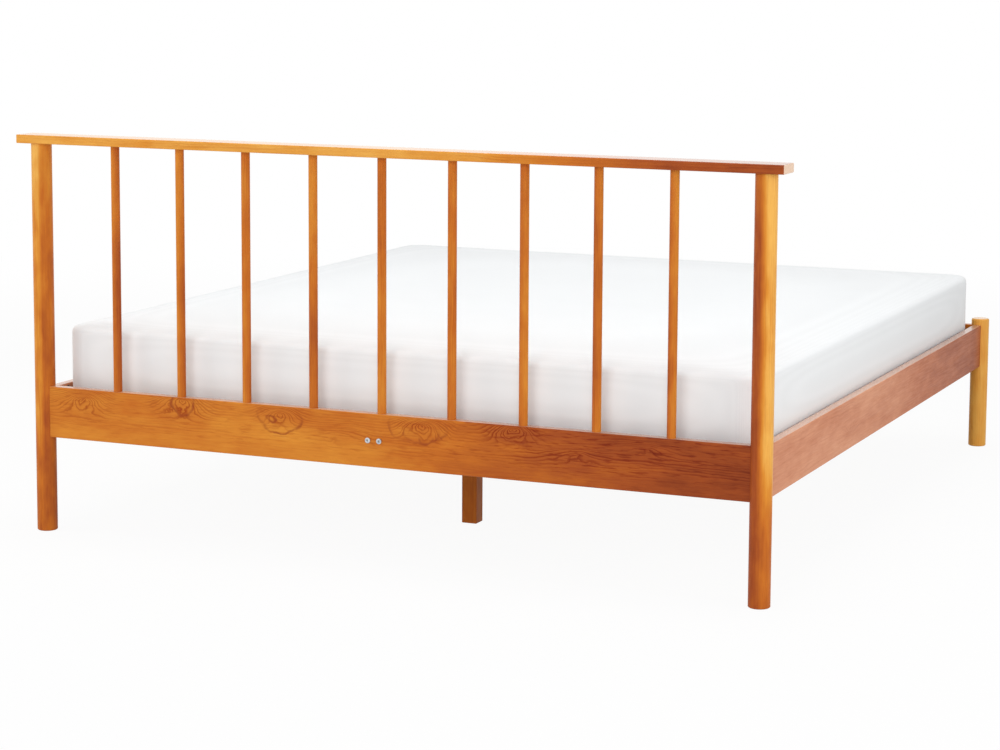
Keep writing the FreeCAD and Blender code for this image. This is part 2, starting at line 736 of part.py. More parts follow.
def write_parts():
    """Check every object, then write one file for each node."""
    doc.recompute()
    for thing in doc.Objects:
        faults = {"Invalid", "Error"} & set(thing.State)
        if faults:
            raise RuntimeError(f"{thing.Name} is {', '.join(faults)}")
    for piece in nodes:
        if piece.Shape.isNull() or not piece.Shape.isValid() or not piece.Shape.Solids:
            raise RuntimeError(f"{piece.Label} has no valid solid")
    os.makedirs("parts", exist_ok=True)
    for piece in nodes:
        piece.Shape.exportStep(f"parts/{piece.Label}.step")
        print(f"{piece.Label}: {len(piece.Shape.Solids)} solids,"
              f" {piece.Shape.Volume / 1000:.1f} cm3")


posts()
end_boards()
side_rails()
top_rail()
spindles()
centre_support()
slat_base()
mattress()
fittings()
write_parts()
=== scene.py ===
"""A wide spindle bed in stained pine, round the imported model: materials, mattress, studio and camera."""
import math
from functools import cached_property, reduce

import bmesh
import bpy
from mathutils import Matrix, Vector


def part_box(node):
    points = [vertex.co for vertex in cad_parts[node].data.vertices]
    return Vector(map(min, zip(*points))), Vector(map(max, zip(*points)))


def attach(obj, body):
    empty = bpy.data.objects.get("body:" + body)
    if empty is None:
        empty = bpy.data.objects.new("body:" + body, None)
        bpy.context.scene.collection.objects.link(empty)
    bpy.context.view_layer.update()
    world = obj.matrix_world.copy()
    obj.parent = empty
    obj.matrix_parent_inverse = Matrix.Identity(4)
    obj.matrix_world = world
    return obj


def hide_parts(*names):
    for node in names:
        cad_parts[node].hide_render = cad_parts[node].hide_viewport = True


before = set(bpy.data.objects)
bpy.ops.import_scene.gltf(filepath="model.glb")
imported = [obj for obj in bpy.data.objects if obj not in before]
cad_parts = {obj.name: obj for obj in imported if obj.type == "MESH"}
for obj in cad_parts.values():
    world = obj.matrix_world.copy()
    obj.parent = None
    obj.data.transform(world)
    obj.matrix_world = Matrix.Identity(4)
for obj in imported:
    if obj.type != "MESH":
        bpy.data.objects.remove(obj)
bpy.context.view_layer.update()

MM = 0.001
WHITE = (1.0, 1.0, 1.0, 1.0)
NOISE_GAIN = 2.6        # brings noise, which seldom leaves 0.5 by more than 0.38, to -1 to 1


# ---------------------------------------------------------------- node materials

def seen(red, green, blue):
    """A colour as it looks, 0 to 255 a channel, as the linear colour that a shader takes."""
    def linear(value):
        value /= 255.0
        return value / 12.92 if value <= 0.04045 else ((value + 0.055) / 1.055) ** 2.4
    return (linear(red), linear(green), linear(blue), 1.0)


class Graph:
    """The node tree of a material or a world, with short calls that add its nodes."""

    def __init__(self, owner):
        self.owner = owner
        owner.use_nodes = True
        self.tree = owner.node_tree
        self.tree.nodes.clear()

    @cached_property
    def place(self):
        """Where a point lies in its object, in metres."""
        return self.add("ShaderNodeTexCoord").outputs["Object"]

    def feed(self, socket, value):
        """Links a socket to another one, or sets it to a constant."""
        if isinstance(value, bpy.types.NodeSocket):
            self.tree.links.new(value, socket)
        else:
            socket.default_value = value

    def add(self, kind, settings=(), **inputs):
        """Adds a node. The keywords are its inputs' names, with _ for each space."""
        node = self.tree.nodes.new(kind)
        for key, value in dict(settings).items():
            setattr(node, key, value)
        for key, value in inputs.items():
            self.feed(node.inputs[key.replace("_", " ")], value)
        return node

    def math(self, operation, *values, clamp=False):
        node = self.add("ShaderNodeMath", {"operation": operation, "use_clamp": clamp})
        for socket, value in zip(node.inputs, values):
            self.feed(socket, value)
        return node.outputs[0]

    def fold(self, operation, *values):
        """Combines any number of values, two at a time."""
        return reduce(lambda first, second: self.math(operation, first, second), values)

    def total(self, *values):
        return self.fold("ADD", *values)

    def scaled(self, vector, scale):
        node = self.add("ShaderNodeVectorMath", {"operation": "MULTIPLY"})
        self.feed(node.inputs[0], vector)
        self.feed(node.inputs[1], scale)
        return node.outputs[0]

    def noise(self, vector, scale=(1, 1, 1), detail=2.0, roughness=0.5):
        """Noise round 0.5, stretched by a scale in each direction."""
        node = self.add("ShaderNodeTexNoise", Vector=self.scaled(vector, scale),
                        Scale=1.0, Detail=detail, Roughness=roughness)
        return node.outputs[0]

    def flicker(self, value):
        """Noise round 0.5 along a single number."""
        node = self.add("ShaderNodeTexNoise", {"noise_dimensions": "1D"}, W=value, Scale=1.0, Detail=1.0)
        return node.outputs[0]

    def swing(self, vector, scale, reach, detail=2.0):
        """Noise round zero that goes about reach to either side."""
        gain = NOISE_GAIN * reach
        return self.math("MULTIPLY_ADD", self.noise(vector, scale, detail), gain, -gain / 2)

    def ramp(self, value, stops, smooth=False):
        """A ramp through stops of (position, colour or number)."""
        node = self.add("ShaderNodeValToRGB", Fac=value)
        ramp = node.color_ramp
        ramp.interpolation = "EASE" if smooth else "LINEAR"
        while len(ramp.elements) < len(stops):
            ramp.elements.new(1.0)
        for element, (position, colour) in zip(ramp.elements, stops):
            element.position = position
            element.color = colour if isinstance(colour, tuple) else (colour, colour, colour, 1.0)
        return node.outputs[0]

    def range(self, value, low, high, to_low=0.0, to_high=1.0):
        """Goes smoothly from to_low, where the value is low, to to_high, where it is high."""
        node = self.add("ShaderNodeMapRange", {"interpolation_type": "SMOOTHSTEP"}, Value=value,
                        From_Min=low, From_Max=high, To_Min=to_low, To_Max=to_high)
        return node.outputs[0]

    def blend(self, factor, first, second, how="MIX"):
        node = self.add("ShaderNodeMix", {"data_type": "RGBA", "blend_type": how})
        self.feed(node.inputs[0], factor)
        self.feed(node.inputs[6], first)
        self.feed(node.inputs[7], second)
        return node.outputs[2]

    def split(self, vector):
        return self.add("ShaderNodeSeparateXYZ", Vector=vector).outputs

    def join(self, x, y, z):
        return self.add("ShaderNodeCombineXYZ", X=x, Y=y, Z=z).outputs[0]

    def bump(self, height, distance, strength=1.0):
        return self.add("ShaderNodeBump", Height=height, Distance=distance, Strength=strength).outputs[0]

    def surface(self, **inputs):
        shader = self.add("ShaderNodeBsdfPrincipled", **inputs)
        self.add("ShaderNodeOutputMaterial", Surface=shader.outputs[0])
        return self.owner


STAIN_DEPTH = 0.88      # the share of their light that the stained tones below keep


def stained(red, green, blue):
    """A colour of stained wood, as seen gives it, with the stain's depth."""
    return tuple(value * STAIN_DEPTH for value in seen(red, green, blue)[:3]) + (1.0,)


# ramps of a wood's tones, from pale to dark
HONEY = ((0.0, stained(250, 190, 92)), (0.25, stained(232, 152, 54)), (0.5, stained(210, 118, 38)),
         (0.75, stained(174, 84, 34)), (1.0, stained(128, 52, 24)))
# the side rails' pinkish tones: partly the wood's own colour, partly a painted reflection of the white studio at
# grazing angles
SALMON = ((0.0, stained(240, 174, 134)), (0.25, stained(224, 152, 112)), (0.5, stained(202, 122, 80)),
          (0.75, stained(168, 88, 48)), (1.0, stained(124, 52, 26)))
# pale end grain, and the painted sheen of lacquered faces that look up
PALE_END_AND_SHEEN = stained(255, 226, 198)
PLAIN = ((0.0, seen(240, 214, 168)), (0.5, seen(226, 192, 138)), (1.0, seen(203, 158, 100)))
STAINED_LINE = seen(186, 112, 70)
PLAIN_LINE = seen(222, 184, 140)
KNOT_RED = stained(150, 62, 28)

YEAR_RING = ((0.0, 0.25), (0.12, 0.0), (0.45, 0.10), (0.80, 0.75), (0.92, 1.0), (1.0, 0.25))   # darkness in a year
KNOT_RINGS = 1.4                    # strength of the rings in a knot
KNOT_TINT = 0.25                    # share of the dark tone in a knot
FIBRE_TINT = 0.16                   # share of the line colour in a fibre
END_PALE = 0.85                     # share of the pale colour in end grain
LOW_FADE = (0.16, 0.34, 0.3, 1.0)   # of what the axis out shifts, partly painted light: from, to, share at from, share at to
PAINTED_INWARD_SHADE = 22.0                 # painted shade: tone, times the place across a bar, times the bar's place across the bed
FACING_UP = (0.80, 0.95)            # upward part of a face's direction, where it starts to shine and to take a painted sheen, and where it fully does
PAINTED_UPPER_SHEEN = 0.3                    # share of the pale colour in a lacquered face that looks up: a painted reflection of the white studio


def knot_place(g, plane, at, across, length, width):
    """The place in a knot: 0 in its middle, and 1 away from that on its edge."""
    return g.add("ShaderNodeMapping", {"vector_type": "TEXTURE"}, Vector=plane, Location=(at, across, 0.0),
                 Scale=(length, width, 1.0)).outputs[0]


def knot_loop(g, plane, at, across, length, width, thickness, strength, open_u, open_v):
    """The dark outline of a knot. It fades further inwards than outwards, and may be open on one side."""
    spot = knot_place(g, plane, at, across, length, width)
    radius = g.add("ShaderNodeVectorMath", {"operation": "LENGTH"}, Vector=spot).outputs["Value"]
    beyond = g.math("SUBTRACT", radius, 1.0)
    stroke = g.math("MULTIPLY", g.range(beyond, -1.5 * thickness, 0.0),
                    g.range(beyond, 0.0, thickness, strength, 0.0))
    if open_u or open_v:
        towards = g.add("ShaderNodeVectorMath", {"operation": "DOT_PRODUCT"})
        g.feed(towards.inputs[0], spot)
        g.feed(towards.inputs[1], (open_u, open_v, 0.0))
        stroke = g.math("MULTIPLY", stroke, g.range(towards.outputs["Value"], -0.4, 0.5, 1.0, 0.0))
    return stroke


def pine(name, along, tones=HONEY, line=STAINED_LINE, tone=0.45, shifts=(), blotch=0.20, mottle=0.12,
         rings=210.0, lean=0.35, wander=0.020, lines=0.6, line_shifts=(), dashes=0.0, knots=(), loops=(),
         lacquer=0.10, pitch=None, pale_ends=None):
    """Sawn pine.

    along is the axis of its grain; across is up, or to the side on upright wood. rings is how many there are in a
    metre, lean the angle of their growth round the grain, and wander how far they stray.
    shifts change the tone, and line_shifts the strength of all lines, between two places, as (axis, from, to,
    value at from, value at to). The axis out is the distance from the middle of the bed, and what it shifts,
    partly painted light, fades towards the floor.
    A knot bends the rings: (along, across, half length, half width, lift, darkness). A loop is the dark outline of
    one: (along, across, half length, half width, thickness, strength, open side along, open side across).
    pitch is the distance between bars that are darker, by painted shade, on the side towards the middle of the
    bed. pale_ends is how far out the end grain starts to be pale, and where it is.
    """
    g = Graph(bpy.data.materials.new(name))
    x, y, z = g.split(g.place)[:]
    places = {"x": x, "y": y, "z": z, "out": g.math("ABSOLUTE", x)}
    u, v, w = {"x": (x, z, y), "y": (y, z, x), "z": (z, x, y)}[along]
    grain = g.join(u, v, w)
    growth = g.total(g.math("MULTIPLY", v, math.cos(lean)), g.math("MULTIPLY", w, math.sin(lean)),
                     g.swing(grain, (1.4, 6.0, 6.0), wander, 1.0),
                     g.swing(grain, (11.0, 34.0, 34.0), wander * 0.25, 3.0))

    core = outline = None
    if knots or loops:
        stray_u = (g.swing(grain, (8.0, 14.0, 14.0), 0.012, 1.0), g.swing(grain, (30.0, 40.0, 40.0), 0.008))
        stray_v = (g.swing(grain, (15.0, 9.0, 9.0), 0.006, 1.0), g.swing(grain, (42.0, 30.0, 30.0), 0.005))
        bent = g.join(g.total(u, *stray_u), g.total(v, *stray_v), 0.0)
    if knots:
        hearts = []
        for at, across, length, width, lift, darkness in knots:
            mask = g.add("ShaderNodeTexGradient", {"gradient_type": "QUADRATIC_SPHERE"},
                         Vector=knot_place(g, bent, at, across, length, width)).outputs["Fac"]
            growth = g.math("MULTIPLY_ADD", mask, lift, growth)
            hearts.append(g.math("MULTIPLY", g.math("SQRT", mask), darkness))
        core = g.fold("MAXIMUM", *hearts)
    if loops:
        outline = g.fold("MAXIMUM", *[knot_loop(g, bent, *loop) for loop in loops])

    count = g.math("MULTIPLY", growth, rings)
    count = g.math("MULTIPLY_ADD", g.flicker(g.math("MULTIPLY", count, 0.6)), 1.6, count)
    late = g.ramp(g.math("FRACT", count), YEAR_RING, smooth=True)
    fade = g.math("MULTIPLY", g.range(g.noise(grain, (5.0, 22.0, 22.0), 3.0, 0.6), 0.38, 0.66, 0.08, 1.0),
                  g.range(g.flicker(g.math("MULTIPLY", count, 0.9)), 0.28, 0.58, 0.35, 1.0))
    reach = 1.0
    for axis, low, high, to_low, to_high in line_shifts:
        place = g.math("ADD", places[axis], g.swing(grain, (5.0, 9.0, 9.0), 0.012, 1.0))
        reach = g.math("MULTIPLY", g.range(place, low, high, to_low, to_high), reach)
    dash = g.range(g.noise(grain, (24.0, 210.0, 210.0), 2.0, 0.5), 0.52, 0.68, 0.0, dashes)
    fibre = g.noise(grain, (34.0, 1300.0, 1300.0), 3.0, 0.6)
    streak = g.noise(grain, (9.0, 190.0, 190.0), 3.0, 0.6)

    shade = g.total(tone, g.swing(grain, (2.2, 11.0, 11.0), blotch, 2.0),
                    g.swing(grain, (14.0, 36.0, 36.0), mottle, 3.0),
                    g.math("MULTIPLY_ADD", streak, 0.20, -0.10))
    for axis, low, high, to_low, to_high in shifts:
        shift = g.range(places[axis], low, high, to_low, to_high)
        # on the head posts what the axis out shifts is partly painted light from the side lamps
        if axis == "out":
            shift = g.math("MULTIPLY", shift, g.range(z, *LOW_FADE))
        shade = g.math("ADD", shade, shift)
    # painted light and shade: each bar darker on its side towards the middle of the bed, paler on its outer side
    if pitch:
        outward = g.math("MULTIPLY", g.math("WRAP", x, pitch / 2, -pitch / 2), x)
        shade = g.math("MULTIPLY_ADD", outward, -PAINTED_INWARD_SHADE, shade)
    colour = g.ramp(shade, tones)

    rows = g.math("MULTIPLY", g.math("MULTIPLY", late, fade), lines)
    marks = g.math("MULTIPLY", g.math("MAXIMUM", rows, dash), reach)
    if core is not None:
        marks = g.math("MULTIPLY_ADD", g.math("MULTIPLY", late, core), KNOT_RINGS, marks, clamp=True)
        colour = g.blend(g.math("MULTIPLY", core, KNOT_TINT, clamp=True), colour, tones[-2][1])
    colour = g.blend(marks, colour, line, "MULTIPLY")
    if outline is not None:
        patchy = g.range(g.noise(grain, (24.0, 40.0, 40.0), 3.0), 0.30, 0.60, 0.35, 1.0)
        colour = g.blend(g.math("MULTIPLY", outline, patchy), colour, KNOT_RED)
    colour = g.blend(g.range(fibre, 0.30, 0.75, 0.0, FIBRE_TINT), colour, line, "MULTIPLY")
    if pale_ends:
        colour = g.blend(g.range(places["out"], *pale_ends, 0.0, END_PALE), colour, PALE_END_AND_SHEEN)
    coat = 0.0
    if lacquer:
        # painted reflection: faces that look up are blended towards the pale colour; their coat is real gloss
        upward = g.range(g.split(g.add("ShaderNodeNewGeometry").outputs["Normal"])[2], *FACING_UP)
        colour = g.blend(g.math("MULTIPLY", upward, PAINTED_UPPER_SHEEN), colour, PALE_END_AND_SHEEN)
        coat = g.math("MAXIMUM", upward, lacquer)
    relief = g.total(g.math("MULTIPLY", late, 0.5), g.math("MULTIPLY", fibre, 0.5))
    return g.surface(
        Base_Color=colour, Roughness=g.range(g.total(streak, fibre), 0.6, 1.4, 0.36, 0.50),
        Normal=g.bump(relief, 0.10 * MM, 0.8), Specular_IOR_Level=0.07,
        Coat_Weight=coat, Coat_Roughness=0.18, Coat_IOR=1.5)


# the colour of the painted shade in the metal's corners and sockets
PAINTED_RECESS_SHADE = seen(38, 36, 34)


def metal(name, bright, dull, roughness, scratch=1.0):
    """Plated or cast metal: cloudy brightness, painted shade in its corners and recesses, fine scratches and
    specks.
    """
    g = Graph(bpy.data.materials.new(name))
    cloud = g.noise(g.place, (160.0, 160.0, 160.0), 3.0)
    scratches = g.noise(g.place, (300.0, 5200.0, 900.0), 3.0, 0.7)
    specks = g.noise(g.place, (2600.0, 2600.0, 2600.0), 2.0)
    colour = g.blend(g.range(cloud, 0.32, 0.70), bright, dull)
    # painted shade: darker where ambient occlusion finds corners and sockets closed in
    open_sky = g.add("ShaderNodeAmbientOcclusion", {"samples": 8}, Distance=3.0 * MM).outputs["AO"]
    colour = g.blend(g.range(open_sky, 0.25, 0.85), PAINTED_RECESS_SHADE, colour)
    return g.surface(
        Base_Color=colour, Metallic=1.0,
        Roughness=g.range(g.total(cloud, scratches), 0.7, 1.35, roughness, roughness + 0.16),
        Normal=g.bump(g.total(g.math("MULTIPLY", scratches, scratch), specks), 0.02 * MM, 0.6))


def knit(name, colour, shadow, stitch=1.7 * MM):
    """A matt knitted cover: rows of small stitches over a slow unevenness."""
    g = Graph(bpy.data.materials.new(name))
    turn = 2.0 * math.pi / stitch
    stitches = g.total(*[g.math("SINE", g.math("MULTIPLY", value, turn)) for value in g.split(g.place)])
    fluff = g.noise(g.place, (900.0, 900.0, 900.0), 3.0, 0.65)
    cloud = g.noise(g.place, (7.0, 7.0, 7.0), 3.0)
    shade = g.total(g.math("MULTIPLY", g.range(stitches, -1.8, 1.8), 0.5), g.math("MULTIPLY", fluff, 0.3),
                    g.math("MULTIPLY", cloud, 0.3))
    colour = g.blend(g.range(shade, 0.15, 0.95), shadow, colour)
    relief = g.total(g.math("MULTIPLY", stitches, 0.35), fluff)
    return g.surface(
        Base_Color=colour, Roughness=g.range(fluff, 0.3, 0.7, 0.82, 0.95),
        Normal=g.bump(relief, 0.25 * MM, 0.5), Specular_IOR_Level=0.2, Sheen_Weight=0.12, Sheen_Roughness=0.45)


STRIP_PLACE = 0.56      # the middle of a webbing strip, from the middle of the bed
RIB_TURN = 6.0 * MM     # how far across the tape a rib runs before it turns
RIB_WAVES = 2400.0      # radians in a metre


def woven_tape(name, colour, shadow):
    """Herringbone tape: diagonal ribs that turn back across its width, alike on both sides of its middle."""
    g = Graph(bpy.data.materials.new(name))
    x, y, _ = g.split(g.place)[:]
    side = g.math("PINGPONG", g.math("ABSOLUTE", x), STRIP_PLACE)
    slant = g.math("ADD", y, g.math("PINGPONG", side, RIB_TURN))
    ribs = g.math("SINE", g.math("MULTIPLY", slant, RIB_WAVES))
    yarn = g.noise(g.place, (1500.0, 700.0, 1500.0), 2.0)
    cloud = g.noise(g.place, (60.0, 12.0, 60.0), 2.0)
    shade = g.total(g.range(ribs, -1.0, 1.0, 0.0, 0.6), g.math("MULTIPLY", yarn, 0.25),
                    g.math("MULTIPLY", cloud, 0.25))
    return g.surface(
        Base_Color=g.blend(g.range(shade, 0.1, 0.95), shadow, colour),
        Roughness=g.range(yarn, 0.3, 0.7, 0.7, 0.88), Normal=g.bump(g.total(ribs, yarn), 0.12 * MM, 0.6),
        Sheen_Weight=0.15, Sheen_Roughness=0.4)


# ---------------------------------------------------------------- the bed's materials

# the head board's knots and loops, as pine takes them
BOARD_KNOTS = (
    (0.800, 0.338, 0.115, 0.062, 0.062, 0.55),
    (0.530, 0.354, 0.125, 0.062, 0.064, 0.55),
    (0.262, 0.342, 0.095, 0.058, 0.046, 0.45),
    (0.110, 0.306, 0.150, 0.040, 0.016, 0.20),
    (-0.104, 0.344, 0.100, 0.058, 0.064, 0.60),
    (-0.340, 0.352, 0.100, 0.056, 0.060, 0.60),
    (-0.500, 0.306, 0.130, 0.034, 0.022, 0.30),
    (-0.660, 0.336, 0.130, 0.036, 0.022, 0.30),
)
BOARD_LOOPS = (
    (0.528, 0.351, 0.031, 0.033, 0.15, 0.80, 0.0, 0.0),
    (0.260, 0.330, 0.055, 0.035, 0.10, 0.80, 0.0, 0.6),
    (0.282, 0.329, 0.010, 0.008, 0.50, 0.75, 0.0, 0.0),
    (-0.112, 0.312, 0.018, 0.014, 0.26, 0.65, 0.0, 0.9),
    (-0.104, 0.326, 0.042, 0.028, 0.12, 0.60, 0.0, 0.9),
    (-0.092, 0.342, 0.072, 0.044, 0.07, 0.50, 0.0, 0.9),
    (-0.345, 0.336, 0.022, 0.018, 0.20, 0.50, 0.6, 0.6),
)
# shifts of the head posts: browner towards the floor, and a painted highlight towards the top
BROWN_FOOT = ("z", 0.14, 0.36, 0.20, 0.0)
PAINTED_TOP_HIGHLIGHT = ("z", 0.70, 0.96, 0.0, -0.18)
SPINDLE_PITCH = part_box("spindle_1")[0].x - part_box("spindle_2")[0].x

materials = {
    # darker towards the right end (negative x): partly the wood's own tone, partly painted shade
    "board": pine(
        "pine_head_board", "x", tone=0.41, shifts=(("x", -0.95, 0.10, 0.50, 0.0),), rings=150.0, lean=2.89,
        wander=0.020, lines=0.95, dashes=0.7, knots=BOARD_KNOTS, loops=BOARD_LOOPS,
        line_shifts=(("x", -0.62, 0.10, 1.0, 0.40), ("z", 0.250, 0.285, 0.30, 1.0))),
    # darker towards the right end (negative x): partly the wood's own tone, partly painted shade
    "cap": pine(
        "pine_top_rail", "x", tone=0.15, shifts=(("x", -0.86, -0.05, 0.66, 0.0),), blotch=0.12, rings=200.0,
        lean=0.8, wander=0.012, lines=0.4, pale_ends=(0.9690, 0.9705)),
    "foot": pine(
        "pine_foot_rail", "x", tone=0.48, rings=150.0, lean=0.3, wander=0.018, lines=0.8, dashes=0.5,
        knots=((0.410, 0.300, 0.090, 0.046, 0.036, 0.50), (-0.520, 0.280, 0.100, 0.046, 0.030, 0.50)),
        loops=((0.410, 0.300, 0.034, 0.024, 0.18, 0.70, 0.0, 0.0),
               (-0.520, 0.282, 0.044, 0.026, 0.14, 0.65, 0.0, -0.5))),
    "side": pine(
        "pine_side_rail", "y", SALMON, tone=0.26, shifts=(("y", -1.00, 0.30, 0.46, 0.0),), blotch=0.14,
        mottle=0.14, rings=150.0, lean=0.5, wander=0.022, lines=0.20, lacquer=0.06,
        knots=((-0.480, 0.300, 0.070, 0.034, 0.030, 0.25), (0.350, 0.285, 0.090, 0.038, 0.026, 0.20))),
    # head posts: paler on the side away from the middle of the bed, darker on the inner side, partly the wood's
    # own tone and partly painted light
    "post_left": pine(
        "pine_head_post_left", "z", tone=0.45,
        shifts=(("out", 0.908, 0.919, 0.12, -0.20), BROWN_FOOT, PAINTED_TOP_HIGHLIGHT),
        blotch=0.16, mottle=0.22, rings=170.0, lean=0.6, wander=0.016, lines=0.25),
    "post_right": pine(
        "pine_head_post_right", "z", tone=0.50,
        shifts=(("out", 0.914, 0.938, 0.22, -0.48), BROWN_FOOT, PAINTED_TOP_HIGHLIGHT),
        blotch=0.14, mottle=0.16, rings=170.0, lean=0.6, wander=0.016, lines=0.25),
    "foot_post": pine("pine_foot_post", "z", tone=0.06, blotch=0.12, rings=170.0, lean=0.6, wander=0.016,
                      lines=0.25),
    "spindle": pine("pine_spindle", "z", tone=0.46, blotch=0.28, mottle=0.14, rings=230.0, lean=0.9,
                    wander=0.012, lines=0.35, pitch=SPINDLE_PITCH),
    "leg": pine("pine_leg", "z", tone=0.50, blotch=0.12, rings=210.0, lean=0.4, wander=0.012, lines=0.4),
    "plain_y": pine("pine_clear_long", "y", PLAIN, PLAIN_LINE, tone=0.5, blotch=0.3, rings=220.0, lean=0.7,
                    wander=0.018, lines=0.9, lacquer=0.0),
    "plain_x": pine("pine_clear_slat", "x", PLAIN, PLAIN_LINE, tone=0.4, blotch=0.35, rings=230.0, lean=1.1,
                    wander=0.020, lines=0.9, lacquer=0.0),
    "beech": pine("beech", "x", PLAIN, PLAIN_LINE, tone=0.75, blotch=0.2, rings=420.0, lean=0.7, wander=0.004,
                  lines=0.3, lacquer=0.0),
    "zinc": metal("zinc_steel", seen(214, 216, 220), seen(172, 176, 182), 0.24),
    "cast": metal("cam_zinc", seen(160, 160, 162), seen(118, 118, 120), 0.42, 0.5),
    "tape": woven_tape("webbing_tape", seen(238, 232, 218), seen(206, 198, 180)),
    "cover": knit("mattress_knit", seen(240, 242, 243), seen(235, 237, 238)),
}

FINISH = {
    "head_board": "board", "top_rail": "cap", "foot_rail": "foot", "cam_locks": "cast", "mattress": "cover",
    "ledger_left": "plain_y", "ledger_right": "plain_y", "centre_beam": "plain_y",
    "centre_leg_head": "leg", "centre_leg_foot": "leg",
    "rail_dowels": "beech", "frame_dowels": "beech", "top_rail_dowels": "beech",
}
PREFIXES = (
    ("head_post_left", "post_left"), ("head_post_right", "post_right"), ("foot_post", "foot_post"),
    ("side_rail", "side"), ("spindle", "spindle"), ("slat", "plain_x"), ("webbing", "tape"),
)
FASTENER = "zinc"       # what all other nodes are made of

for name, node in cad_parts.items():
    by_prefix = (kind for prefix, kind in PREFIXES if name.startswith(prefix))
    finish = FINISH.get(name) or next(by_prefix, FASTENER)
    for material_slot in node.material_slots:
        material_slot.material = materials[finish]


# ---------------------------------------------------------------- mattress

CORNER = 62 * MM        # radius, seen from above
CORNER_STEPS = 5
TOP_EDGE = 15 * MM      # radius of the edge round the top
LOW_EDGE = 16 * MM
EDGE_STEPS = 4
WALL_STEPS = 7
SLACK = 3 * MM          # how much smaller the cover is before it swells
CROWN = 3 * MM          # how much higher the middle of the top is than its edge
CROWN_POWER = 3         # the higher, the nearer to the edge the crown falls
RUNS = (60, 66)         # even cells across and along the top, between its corners
PRESSURE = 0.035        # low, because so wide a cover swells far
CLOTH_FRAMES = 16
SWELL_MOST = 8 * MM     # the furthest that the cloth moves a point
HELD_RIM = 4 * MM       # the cover stays still up to this far above the side rails
RAIL_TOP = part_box("side_rail_left")[1].z


def stations(half, corner, runs):
    """The grid lines along one axis, each as its place on the straight part and how far it is into a corner,
    -1 to 1."""
    straight = half - corner
    bend = [math.sqrt(2) * math.sin(math.pi / 4 * k / CORNER_STEPS) for k in range(1, CORNER_STEPS + 1)]
    middle = [(straight * (2 * k / runs - 1), 0.0) for k in range(runs + 1)]
    return [(-straight, -t) for t in reversed(bend)] + middle + [(straight, t) for t in bend]


def plan_grid(half, inset):
    """The grid of one level of the mattress, with round corners, drawn in by inset."""
    corner = CORNER - inset
    columns, rows = (stations(size - inset, corner, runs) for size, runs in zip(half, RUNS))
    return [[(cx + corner * tx * math.sqrt(1 - ty * ty / 2), cy + corner * ty * math.sqrt(1 - tx * tx / 2))
             for cx, tx in columns] for cy, ty in rows]


def rim(grid):
    """The grid's outermost points, one way round."""
    return (grid[0] + [row[-1] for row in grid[1:]] + grid[-1][-2::-1] + [row[0] for row in grid[-2:0:-1]])


def wall_profile(height):
    """(inset, height) of each ring of the wall, from the edge of the bottom to the edge of the top."""
    turns = [math.pi / 2 * k / EDGE_STEPS for k in range(EDGE_STEPS + 1)]
    rings = [(LOW_EDGE * (1 - math.sin(a)), LOW_EDGE * (1 - math.cos(a))) for a in turns]
    top = height - CROWN
    wall = top - TOP_EDGE - LOW_EDGE
    rings += [(0.0, LOW_EDGE + wall * k / WALL_STEPS) for k in range(1, WALL_STEPS)]
    return rings + [(TOP_EDGE * (1 - math.cos(a)), top - TOP_EDGE * (1 - math.sin(a))) for a in turns]


def swell(piece, held):
    """Blows the cover up a little as cloth, and writes the result into its mesh. The points in held stay."""
    start = [v.co.copy() for v in piece.data.vertices]
    piece.vertex_groups.new(name="held").add(held, 1.0, "REPLACE")
    cloth = piece.modifiers.new("cloth", "CLOTH")
    cloth.settings.vertex_group_mass = "held"
    cloth.settings.use_pressure = True
    cloth.settings.uniform_pressure_force = PRESSURE
    cloth.settings.effector_weights.gravity = 0.0
    for step in range(1, CLOTH_FRAMES + 1):
        bpy.context.scene.frame_set(step)
    settled = piece.evaluated_get(bpy.context.evaluated_depsgraph_get()).data
    moves = [after.co - before for after, before in zip(settled.vertices, start)]
    piece.modifiers.remove(cloth)
    piece.vertex_groups.clear()
    bpy.context.scene.frame_set(1)
    for v, before, move in zip(piece.data.vertices, start, moves):
        v.co = before + move * min(1.0, SWELL_MOST / max(move.length, 1e-9))


def mattress_form():
    """The cover before it swells, as a bmesh: a flat bottom, a wall with round edges and a crowned top."""
    low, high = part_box("mattress")
    half = [(high[k] - low[k]) / 2 - SLACK for k in (0, 1)]
    middle = [(high[k] + low[k]) / 2 for k in (0, 1)]
    height = high.z - low.z - 2 * SLACK
    form = bmesh.new()

    def place(px, py, level):
        return form.verts.new((middle[0] + px, middle[1] + py, low.z + level))

    def arch(part):
        return 1 - abs(part) ** CROWN_POWER

    def cap(inset, level, crown):
        """The vertices of the bottom or the top, as a grid."""
        reach = [size - inset for size in half]
        return [[place(px, py, level + crown * arch(px / reach[0]) * arch(py / reach[1])) for px, py in row]
                for row in plan_grid(half, inset)]

    profile = wall_profile(height)
    bottom = cap(LOW_EDGE, 0.0, 0.0)
    top = cap(TOP_EDGE, height - CROWN, CROWN)
    rings = [rim(bottom)] + [[place(px, py, level) for px, py in rim(plan_grid(half, inset))]
                             for inset, level in profile[1:-1]] + [rim(top)]
    for grid, turned in ((bottom, True), (top, False)):
        for row, above in zip(grid, grid[1:]):
            for k in range(len(row) - 1):
                corners = (row[k], row[k + 1], above[k + 1], above[k])
                form.faces.new(corners[::-1] if turned else corners)
    for ring, above in zip(rings, rings[1:]):
        for k in range(len(ring)):
            after = (k + 1) % len(ring)
            form.faces.new((ring[k], ring[after], above[after], above[k]))
    bmesh.ops.recalc_face_normals(form, faces=form.faces)
    for face in form.faces:
        face.smooth = True
    return form


